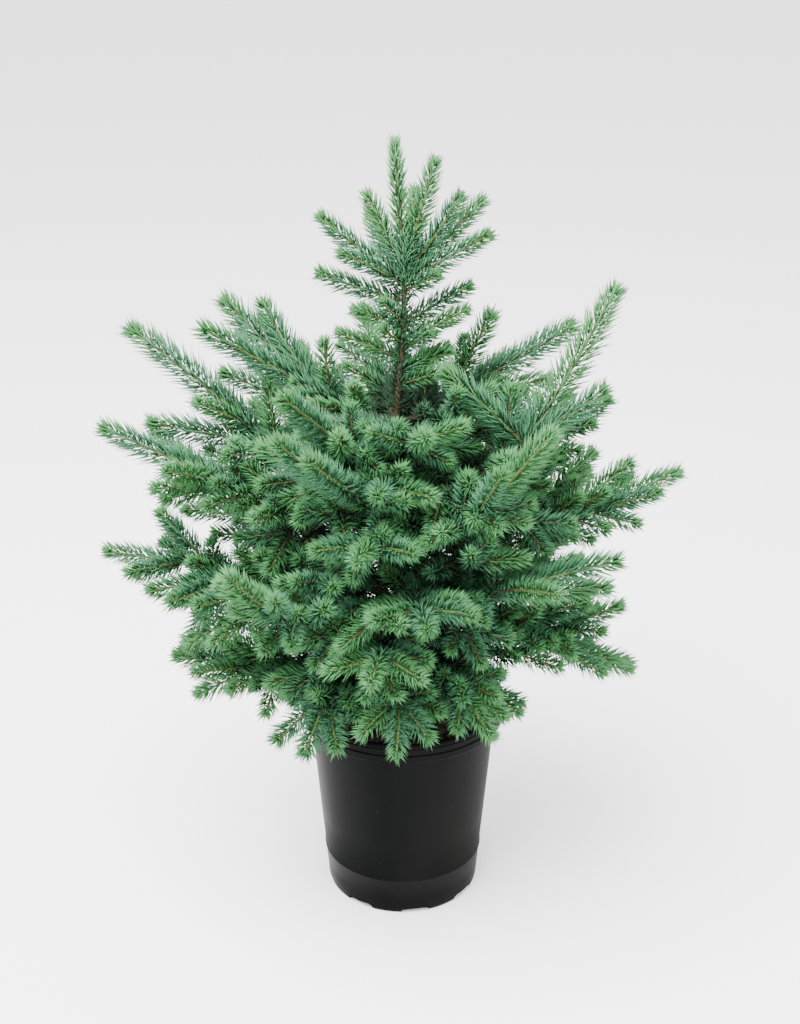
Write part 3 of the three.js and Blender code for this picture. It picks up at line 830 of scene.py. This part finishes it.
# for each rank of shoot: the tints of its foot, its length and its tip. The darker tints at the foot and on
# rank 0, deep inside the crown, are painted shade.
SHADES = {0: [(0, 0), (0, 1), (1, 2)], 1: [(1, 1), (2, 3), (3, 4)], 2: [(1, 2), (2, 3), (3, 4)]}
PARTS = {
    "sprays_top": ("leader", "top_", "stem_"),
    "sprays_upper": ("upper_",),
    "sprays_middle_left": ("mid_left",),
    "sprays_middle_front": ("mid_front", "core_"),
    "sprays_middle_right": ("mid_right",),
    "sprays_middle_back": ("mid_back",),
    "sprays_low_front": ("low_front",),
    "sprays_low_sides": ("low_left", "low_right"),
    "sprays_low_back": ("low_back",),
    "sprays_skirt": ("skirt_",),
    "sprays_inner_low": ("inner_low_",),
    "sprays_inner_middle": ("inner_middle_",),
    "sprays_inner_high": ("inner_high_",),
}
needle_rng = np.random.default_rng(23)


def unit(vectors):
    return vectors / np.linalg.norm(vectors, axis=-1, keepdims=True)


def clothe(path, length, brush, rank, density, rosette, lean_share=1.0):
    """Corners (n, 5, 3) and tints (n) of the needles round one stem, whose path is a function of 0 to 1."""
    rng = needle_rng
    count = int(length * density)
    t = (np.arange(count) + rng.uniform(0, 1, count)) / count
    t = np.concatenate([t, 1 - rng.uniform(0, ROSETTE_DEPTH, rosette) / length])
    total = len(t)
    at_bud = np.arange(total) >= count
    foot = path(t)
    aim = unit(path(t + 0.02) - path(t - 0.02))
    up, side = across(aim)
    turn = np.arange(total) * GOLDEN_TURN + rng.normal(0, 0.22, total)
    spoke = np.cos(turn)[:, None] * up + np.sin(turn)[:, None] * side
    level = 1 - np.abs(aim[:, 2:3])
    spoke = unit(spoke + level * (0, 0, TO_LIGHT))

    lean = np.radians(LEAN - LEAN_LESS * t**LEAN_POWER + rng.normal(0, LEAN_SPREAD, total))
    lean = np.where(at_bud, np.radians(rng.uniform(*BUD_LEAN, total)), lean) * lean_share
    first = np.cos(lean)[:, None] * aim + np.sin(lean)[:, None] * spoke
    last = unit(first + CURL * aim + level * (0, 0, CURL_UP))
    growing = 0.22 * np.minimum(t / FIRST_STRETCH, 1)
    waning = 0.30 * np.maximum(t - (1 - LAST_STRETCH), 0) / LAST_STRETCH
    size = brush * NEEDLE_LENGTH * (0.80 + growing - waning)
    size = size * rng.uniform(0.90, 1.06, total) * np.where(at_bud, AT_BUD_LENGTH, 1)

    middle = foot + first * (size * WAIST)[:, None]
    point = middle + last * (size * (1 - WAIST))[:, None]
    one, two = across(unit(point - foot))
    thick = NEEDLE_RADIUS * rng.uniform(0.85, 1.1, total)[:, None]
    roll = rng.uniform(0, math.tau, total)
    ring = []
    for k in range(3):
        angle = roll + k * math.tau / 3
        ring.append(middle + thick * (np.cos(angle)[:, None] * one + np.sin(angle)[:, None] * two))

    lighter = rng.random() < LIGHTER_SHARE
    low, along, high = [pair[1] if lighter else pair[0] for pair in SHADES[rank]]
    edge = t + rng.normal(0, 0.05, total)
    tint = np.where(edge < FOOT_TINT, low, np.where(edge < TIP_TINT, along, high))
    needles = np.stack([foot, *ring, point], axis=1)
    out = np.hypot(needles[..., 0], needles[..., 1])
    in_rim = (needles[..., 2] < POT_HEIGHT / MM + 1) & (out > MOUTH_INSIDE) & (out < RIM_RADIUS / MM + 1)
    in_soil = (needles[..., 2] < SOIL_EDGE / MM + 5) & (out < 100)
    free = ~(in_rim | in_soil).any(axis=1)
    return needles[free], tint[free]


def clothed_trunk(t):
    """The part of the trunk that bears needles, from its foot at 0 to its top at 1."""
    low, high = TRUNK_CLOTHED
    return np.array([trunk_centre(z) for z in low + (high - low) * t])


def clothed_wood(row, bare, t):
    """The part of a bough's old wood that bears needles."""
    return bough_point(row, bare + (1 - bare) * t)


tint_materials = []
for name, colour in TINTS:
    made, surface = tinted(name, colour, 0.55)
    surface.inputs["Specular IOR Level"].default_value = 0.25
    tint_materials.append(made)

for part, prefixes in PARTS.items():
    names = [name for name in shoots if name.startswith(prefixes)]
    places, tints = [], []
    for name in names:
        for s in shoots[name]:
            rank = s["rank"]
            density = PER_MILLIMETRE[rank]
            lean_share = LEADER_LEAN if s is leader else 1.0
            stem = functools.partial(stem_point, s)
            place, tint = clothe(stem, s["length"], s["brush"], rank, density, ROSETTE, lean_share)
            places.append(place)
            tints.append(tint)
    for number, row in enumerate(BOUGHS):
        if row[0] in names:
            bare = BARE_LIMBED if number < len(LIMBED_BOUGHS) else BARE_CLOTHED
            old_wood = functools.partial(clothed_wood, row, bare)
            size = row[3] * (1 - bare)
            place, tint = clothe(old_wood, size, OLD_WOOD_BRUSH, 0, OLD_WOOD_DENSITY, 0)
            places.append(place)
            tints.append(tint)
    if part == "sprays_top":
        size = TRUNK_CLOTHED[1] - TRUNK_CLOTHED[0]
        place, tint = clothe(clothed_trunk, size, TRUNK_NEEDLES, 0, TRUNK_DENSITY, 0)
        places.append(place)
        tints.append(tint)
    places, tints = np.concatenate(places), np.concatenate(tints)
    made = joined_mesh(
        part,
        places,
        copies(NEEDLE_TRIANGLES, len(places), 5),
        tint_materials,
        np.repeat(tints, len(NEEDLE_TRIANGLES)),
    )
    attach(made, "root")
    if not part.startswith("sprays_inner"):
        replaced = ["needles_" + name for name in names]
        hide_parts(*[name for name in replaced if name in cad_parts])

# ---- The buds --------------------------------------------------------------------------------
# A pointed, papery, light brown winter bud at the end of every outer shoot, held in its last needles.
BUD_SIDES = 6
tubes = []
for s in [s for grown in shoots.values() for s in grown if s["rank"] == 2]:
    aim = unit(s["tip"] - s["base"])
    along = np.array([-1.0, 0.6, 2.2, 3.6, 4.6])
    tubes.append((s["tip"] + along[:, None] * aim, [0.9, 1.5, 1.5, 0.9, 0.2], BUD_SIDES, None))
corners, triangles = join_tubes(tubes)
bud_scales = tinted("bud_scales", (0.14, 0.085, 0.035), 0.6)[0]
buds = joined_mesh("buds", corners, triangles, [bud_scales])
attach(buds, "root")

# ---- The room --------------------------------------------------------------------------------
# A plain white floor without an edge in sight, under a broad overhead light and soft light all round.
deselect()
bpy.ops.mesh.primitive_plane_add(size=40)
floor = bpy.context.object
floor.name = "floor"
white = tinted("white_floor", (0.97, 0.97, 0.97), 1.0)[0]
floor.data.materials.append(white)

world = bpy.data.worlds.new("soft_light")
world.use_nodes = True
world.node_tree.nodes["Background"].inputs["Color"].default_value = (1, 1, 1, 1)
world.node_tree.nodes["Background"].inputs["Strength"].default_value = 2.75
bpy.context.scene.world = world


def softbox(name, place, aim, size, watts):
    """A square area light at a place, facing a point."""
    light = bpy.data.lights.new(name, "AREA")
    light.size = size
    light.energy = watts
    made = bpy.data.objects.new(name, light)
    made.location = place
    made.rotation_mode = "QUATERNION"
    made.rotation_quaternion = (Vector(aim) - Vector(place)).to_track_quat("-Z", "Y")
    bpy.context.collection.objects.link(made)


softbox("overhead", (-0.8, -0.9, 3.0), (0, 0, 0.5), 2.6, 435)
softbox("side", (2.0, -1.6, 1.4), (0, 0, 0.4), 1.4, 29)

# ---- The camera ------------------------------------------------------------------------------
# It stands a metre and a half in front of the plant, at a grown-up's chest height, looking down at it.
lens = bpy.data.cameras.new("camera")
lens.sensor_width = 36
lens.lens = 56.25
camera = bpy.data.objects.new("camera", lens)
camera.location = (-0.003, -1.556, 1.1)
camera.rotation_euler = (math.radians(90 - 22.7), 0, 0)
bpy.context.collection.objects.link(camera)
bpy.context.scene.camera = camera
